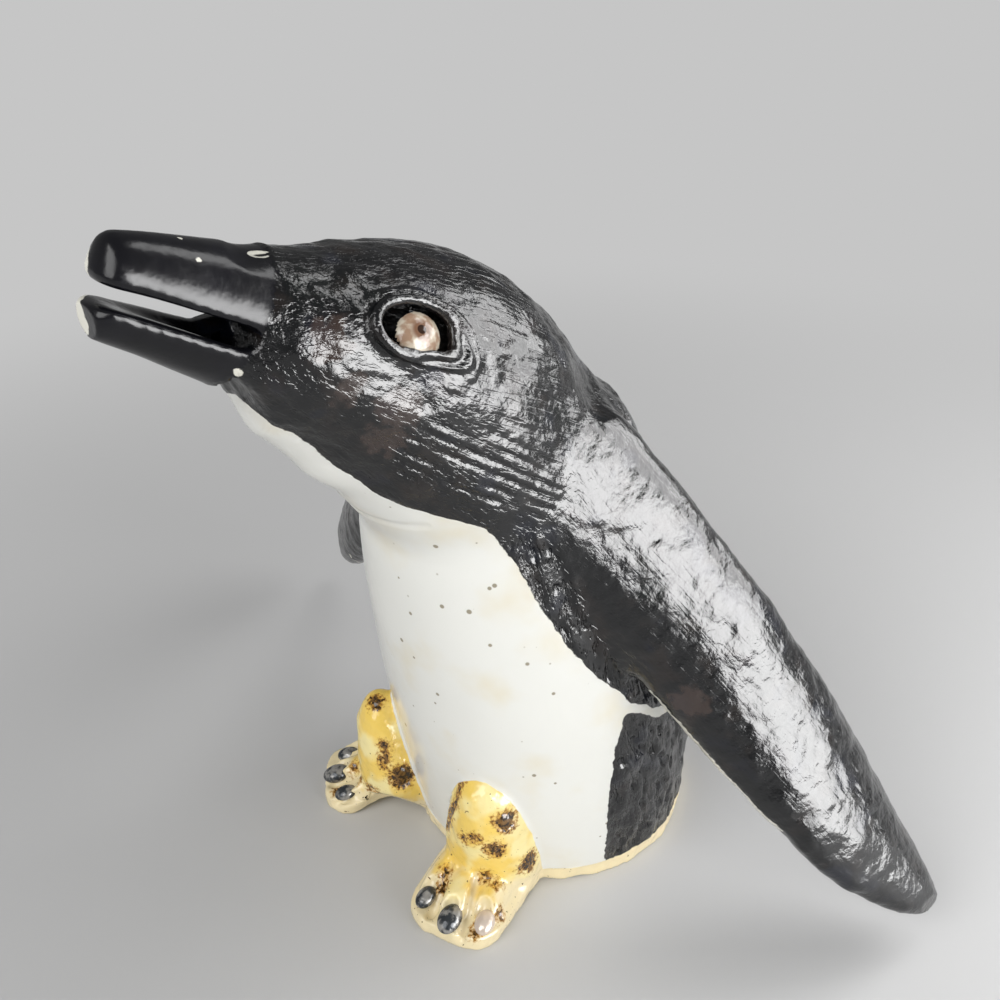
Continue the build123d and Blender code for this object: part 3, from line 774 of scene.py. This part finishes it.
def clay_look(name):
    """White glaze with specks, black glaze over the feather strokes, and stained yellow glaze on the feet."""
    look = Look(name)
    is_black = look.step(look.ragged(look.attribute("black"), 3.0, 2.0), -0.15, 0.15)
    is_yellow = look.step(look.ragged(look.attribute("yellow"), 4.0, 1.0, 9.0), -0.5, 0.3)
    creamy = look.step(look.noise(18.0, 3.0, 1.0), 0.5, 0.8)
    cream = look.mix(creamy, srgb(232, 232, 226), srgb(228, 222, 203))
    speck = look.cells(4.5, 2.0)
    size = look.math("MULTIPLY", look.make("ShaderNodeSeparateColor", {0: speck["Color"]}).outputs[0], 0.14)
    dot = look.step(look.math("SUBTRACT", size, speck["Distance"]), -0.03, 0.03)
    white = look.mix(dot, cream, srgb(152, 144, 124))
    tint = look.mix(look.step(look.noise(7.0, 3.0, 3.0), 0.5, 0.7), srgb(10, 11, 13), srgb(28, 23, 21))
    tint = look.mix(look.step(look.noise(9.0, 2.0, 4.0), 0.55, 0.7), tint, srgb(17, 20, 30))
    is_tan = look.step(look.ragged(look.attribute("tan"), 3.0, 8.0, 7.0), -0.9, 0.9)
    tint = look.mix(look.math("MULTIPLY", is_tan, 0.5), tint, srgb(74, 60, 54))
    is_pale = look.step(look.ragged(look.attribute("pale"), 1.5, 0.9, 8.0), -0.1, 0.1)
    tint = look.mix(is_pale, tint, srgb(214, 212, 200))
    tall = look.make("ShaderNodeSeparateXYZ", {0: look.place}).outputs["Z"]
    uneven = look.math("MULTIPLY", look.math("SUBTRACT", look.noise(5.0, 2.0), 0.5), 12 * MM)
    low = look.step(look.math("ADD", tall, uneven), 11 * MM, 6 * MM)
    clouded = look.step(look.noise(8.0, 2.0, 3.0), 0.42, 0.62)
    gold = look.mix(clouded, srgb(240, 206, 104), srgb(244, 228, 164))
    gold = look.mix(low, gold, srgb(236, 220, 178))
    stain = look.ragged(look.ragged(look.attribute("brown"), 2.6, 3.0, 2.0), 0.9, 6.0, 5.0)
    halo = look.mix(look.step(stain, -1.6, 0.2), gold, srgb(178, 128, 52))
    burnt = look.mix(look.step(look.noise(0.9, 2.0, 6.0), 0.42, 0.6), srgb(50, 36, 20), srgb(122, 88, 42))
    gold = look.mix(look.step(stain, -0.2, 0.35), halo, burnt)
    gold = look.mix(look.step(look.noise(1.1, 2.0, 4.0), 0.69, 0.75), gold, srgb(96, 70, 38))
    look.set(Base_Color=look.mix(is_yellow, look.mix(is_black, white, tint), gold))
    shiny = look.blend(look.noise(2.0, 2.0, 5.0), 0.1, 0.28)
    look.set(Roughness=look.blend(is_black, 0.14, shiny), IOR=look.blend(is_black, 1.5, 1.55))
    comb = look.attribute("comb", "Vector")
    stroke = look.make("ShaderNodeTexNoise", {"Vector": comb, "Scale": 1.0, "Detail": 2.0}).outputs["Fac"]
    groove = look.math("MULTIPLY", look.step(stroke, 0.5, 0.66), look.attribute("stroke"))
    lumps = look.math("ADD", look.noise(1.3, 3.0, 6.0), look.math("MULTIPLY", groove, -0.7))
    glazed_over = look.blend(is_yellow, look.math("MULTIPLY", lumps, is_black), look.noise(1.4, 2.0, 1.0))
    look.bump(glazed_over, 0.17)
    return look.material


def beak_look():
    """Smooth black glaze, worn pale at the tips."""
    look = Look("beak_glaze")
    is_pale = look.step(look.ragged(look.attribute("pale"), 1.6, 1.4), -0.12, 0.12)
    glaze = look.mix(look.noise(8.0, 2.0), srgb(9, 9, 11), srgb(22, 22, 28))
    half = math.sqrt(NOSTRIL_RADII[0] ** 2 - NOSTRIL_RADII[1] ** 2)
    focuses = [tuple((nostril + turn * half * unit(NOSTRIL_ALONG)) * MM) for turn in (-1, 1)]
    reaches = [look.apart(look.mirrored(), focus) for focus in focuses]
    around = look.math("SUBTRACT", look.math("ADD", *reaches), 2 * NOSTRIL_RADII[0] * MM)
    off_rim = look.math("ABSOLUTE", around, 0.0)
    is_rim = look.step(off_rim, 1.5 * NOSTRIL_RIM * MM, NOSTRIL_RIM * MM)
    worn = look.math("MAXIMUM", is_pale, look.math("MULTIPLY", is_rim, 0.75))
    look.set(Base_Color=look.mix(worn, glaze, srgb(226, 224, 212)))
    look.set(Roughness=look.blend(look.noise(5.0), 0.14, 0.3), IOR=1.4)
    look.bump(look.noise(2.5, 2.0, 1.0), 0.1)
    return look.material


def claw_look():
    """Dark grey glaze with a metallic sheen."""
    look = Look("claw_glaze")
    patchy = look.step(look.noise(2.2, 3.0), 0.42, 0.6)
    grey = look.mix(patchy, srgb(52, 56, 60), srgb(150, 148, 144))
    look.set(Base_Color=look.mix(look.attribute("pale"), grey, srgb(216, 200, 186)))
    look.set(Roughness=look.blend(look.noise(2.0), 0.12, 0.3), Metallic=0.25)
    look.bump(look.noise(1.2, 2.0, 1.0), 0.15)
    return look.material


def eye_look():
    """Beige glaze with a small brown pupil."""
    look = Look("eye_glaze")
    apart = look.apart(look.mirrored(), tuple(value * MM for value in PUPIL))
    ball = look.mix(look.step(look.noise(2.2, 3.0), 0.4, 0.62), srgb(206, 195, 176), srgb(158, 130, 108))
    ball = look.mix(look.step(apart, 2.6 * MM, 1.2 * MM), ball, srgb(122, 90, 70))
    is_pupil = look.step(apart, 1.1 * PUPIL_RADIUS * MM, 0.9 * PUPIL_RADIUS * MM)
    look.set(Base_Color=look.mix(is_pupil, ball, srgb(52, 34, 26)))
    look.set(Roughness=look.blend(look.noise(2.0), 0.1, 0.2))
    look.bump(look.noise(1.0, 2.0, 1.0), 0.06)
    return look.material


looks = {
    "white_glaze": clay_look("white_glaze"),
    "black_glaze": clay_look("black_glaze"),
    "yellow_glaze": clay_look("yellow_glaze"),
    "beak_glaze": beak_look(),
    "claw_glaze": claw_look(),
    "eye_glaze": eye_look(),
}


def seam_loops(faces):
    """Closed rows of points along the open edges of some faces."""
    pairs = np.concatenate([faces[:, [0, 1]], faces[:, [1, 2]], faces[:, [2, 3]], faces[:, [3, 0]]])
    known = set(map(tuple, pairs.tolist()))
    following = {}
    for start, end in known:
        if (end, start) not in known:
            following.setdefault(start, []).append(end)
    loops = []
    while following:
        row = [min(following)]
        while row[-1] in following:
            last = row[-1]
            row.append(following[last].pop())
            if not following[last]:
                del following[last]
        loops.append(row[:-1])
    return loops


def dress(name, mesh):
    """Shows a mesh in place of its CAD node, with the node's glaze."""
    piece = bpy.data.objects.new(name + "_glazed", mesh)
    bpy.context.scene.collection.objects.link(piece)
    mesh.materials.append(looks[slot_of[name]])
    mesh.shade_smooth()
    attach(piece, "root")
    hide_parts(name)
    return piece


def cut_piece(name, faces, paints):
    """The part of the skin that belongs to a node, closed below the skin where it meets its neighbours."""
    used, flat = np.unique(faces, return_inverse=True)
    local = flat.reshape(-1, 4)
    corners = [points[used]]
    ups = [normals[used]]
    sides = list(map(tuple, local.tolist()))
    count = len(used)
    sources = [used]
    for loop in seam_loops(local):
        seam = used[loop]
        sunk = points[seam] - SKIRT * normals[seam]
        hub = sunk.mean(axis=0) - SKIRT * normals[seam].mean(axis=0)
        corners += [sunk, hub[None]]
        ups += [normals[seam], normals[seam].mean(axis=0)[None]]
        sources += [seam, seam[:1]]
        ring = list(range(count, count + len(loop)))
        middle = count + len(loop)
        count += len(loop) + 1
        for here, there, below, beyond in zip(loop, loop[1:] + loop[:1], ring, ring[1:] + ring[:1]):
            sides += [(there, here, below, beyond), (beyond, below, middle)]
    mesh = bpy.data.meshes.new(name + "_glazed")
    mesh.from_pydata((np.concatenate(corners) * MM).tolist(), [], sides)
    source = np.concatenate(sources)
    for label, values in paints.items():
        kind = "FLOAT_VECTOR" if values.ndim == 2 else "FLOAT"
        layer = mesh.attributes.new(label, kind, "POINT")
        layer.data.foreach_set("vector" if values.ndim == 2 else "value", values[source].ravel())
    piece = dress(name, mesh)
    mesh.normals_split_custom_set_from_vertices(np.concatenate(ups).tolist())
    return piece


face_owner = owner[quads[:, 0]]
paints = {"black": black, "yellow": golden, "pale": pale, "tan": tan, "brown": brown}
paints["stroke"] = stroke
no_comb = np.zeros((len(points), 3))
for index, name in enumerate(skin_nodes):
    cut_piece(name, quads[face_owner == index], dict(paints, comb=combs.get(name, no_comb)))

# Eyes and claws keep the shape of their solids, resized and moved a little
for name in nodes:
    kind = name.split("_")[-1]
    if kind in LOOSE_KINDS:
        loose = bmesh.new()
        loose.from_mesh(nodes[name].data)
        bmesh.ops.remove_doubles(loose, verts=loose.verts, dist=0.001 * MM)
        low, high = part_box(name)
        about = Matrix.Translation(-(low + high) / 2)
        on_left = name.startswith("left")
        if kind == "claw":
            toe = name.split("_")[1]
            wide = CLAW_SIZES[toe]
            shift = Vector(LEFT_CLAW_MOVES[toe] if on_left else RIGHT_CLAW_MOVE) * MM
            bmesh.ops.scale(loose, verts=loose.verts, vec=(wide, wide, wide * CLAW_FLATNESS), space=about)
        else:
            shift = Vector(EYE_SHIFT) * MM
            shift.x *= 1 if on_left else -1
            bmesh.ops.scale(loose, verts=loose.verts, vec=(EYE_SIZE,) * 3, space=about)
        bmesh.ops.translate(loose, verts=loose.verts, vec=shift)
        mesh = bpy.data.meshes.new(name + "_glazed")
        loose.to_mesh(mesh)
        loose.free()
        layer = mesh.attributes.new("pale", "FLOAT", "POINT")
        layer.data.foreach_set("value", [float(name == PALE_CLAW)] * len(mesh.vertices))
        mesh.materials.clear()
        dress(name, mesh)

# Stage
floor_mesh = bpy.data.meshes.new("floor")
floor_corners = [(x * FLOOR_HALF, y * FLOOR_HALF, 0) for x, y in ((-1, -1), (1, -1), (1, 1), (-1, 1))]
floor_mesh.from_pydata(floor_corners, [], [(0, 1, 2, 3)])
floor = bpy.data.objects.new("floor", floor_mesh)
bpy.context.scene.collection.objects.link(floor)
floor_look = Look("floor")
floor_look.set(Base_Color=srgb(*FLOOR_COLOUR), Roughness=FLOOR_ROUGHNESS)
rays = floor_look.make("ShaderNodeLightPath").outputs
seen = floor_look.math("MAXIMUM", rays["Is Camera Ray"], rays["Is Glossy Ray"])
seen = floor_look.math("MAXIMUM", seen, rays["Is Transmission Ray"])
far = floor_look.step(floor_look.apart(floor_look.place, (0, 0, 0)), *BACKDROP_REACH)
glow = floor_look.make("ShaderNodeEmission", {"Color": srgb(*BACKDROP_COLOUR), "Strength": 1.0}).outputs[0]
shaders = {0: floor_look.math("MULTIPLY", far, seen), 1: floor_look.shader.outputs[0], 2: glow}
surface = floor_look.make("ShaderNodeMixShader", shaders).outputs[0]
floor_look.give(floor_look.tree.nodes["Material Output"].inputs["Surface"], surface)
floor_mesh.materials.append(floor_look.material)
floor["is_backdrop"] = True

world = bpy.data.worlds.new("studio")
bpy.context.scene.world = world
world.use_nodes = True
world.node_tree.nodes["Background"].inputs["Color"].default_value = (1, 1, 1, 1)
world.node_tree.nodes["Background"].inputs["Strength"].default_value = WORLD_STRENGTH


def add_lamp(name, place, width, tall, power, only_gloss):
    """Soft panel of light, aimed at the middle of the figure."""
    lamp = bpy.data.lights.new(name, "AREA")
    lamp.shape = "RECTANGLE"
    lamp.size = width
    lamp.size_y = tall
    lamp.energy = power
    holder = bpy.data.objects.new(name, lamp)
    holder.location = place
    holder.visible_diffuse = not only_gloss
    holder.rotation_euler = (Vector(LAMP_AIM) - Vector(place)).to_track_quat("-Z", "Y").to_euler()
    bpy.context.scene.collection.objects.link(holder)


for lamp in LAMPS:
    add_lamp(*lamp)

camera = bpy.data.objects.new("camera", bpy.data.cameras.new("camera"))
camera.data.lens = CAMERA_LENS
camera.data.sensor_width = SENSOR_WIDTH
camera.location = Vector(CAMERA_PLACE) * MM
camera.rotation_euler = (math.radians(CAMERA_PITCH), 0, math.radians(CAMERA_HEADING))
bpy.context.scene.collection.objects.link(camera)
bpy.context.scene.camera = camera
bpy.context.scene.view_settings.view_transform = "Standard"

size = {"cad": [list(corner) for corner in cad_box], "visual": [list(corner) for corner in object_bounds()]}
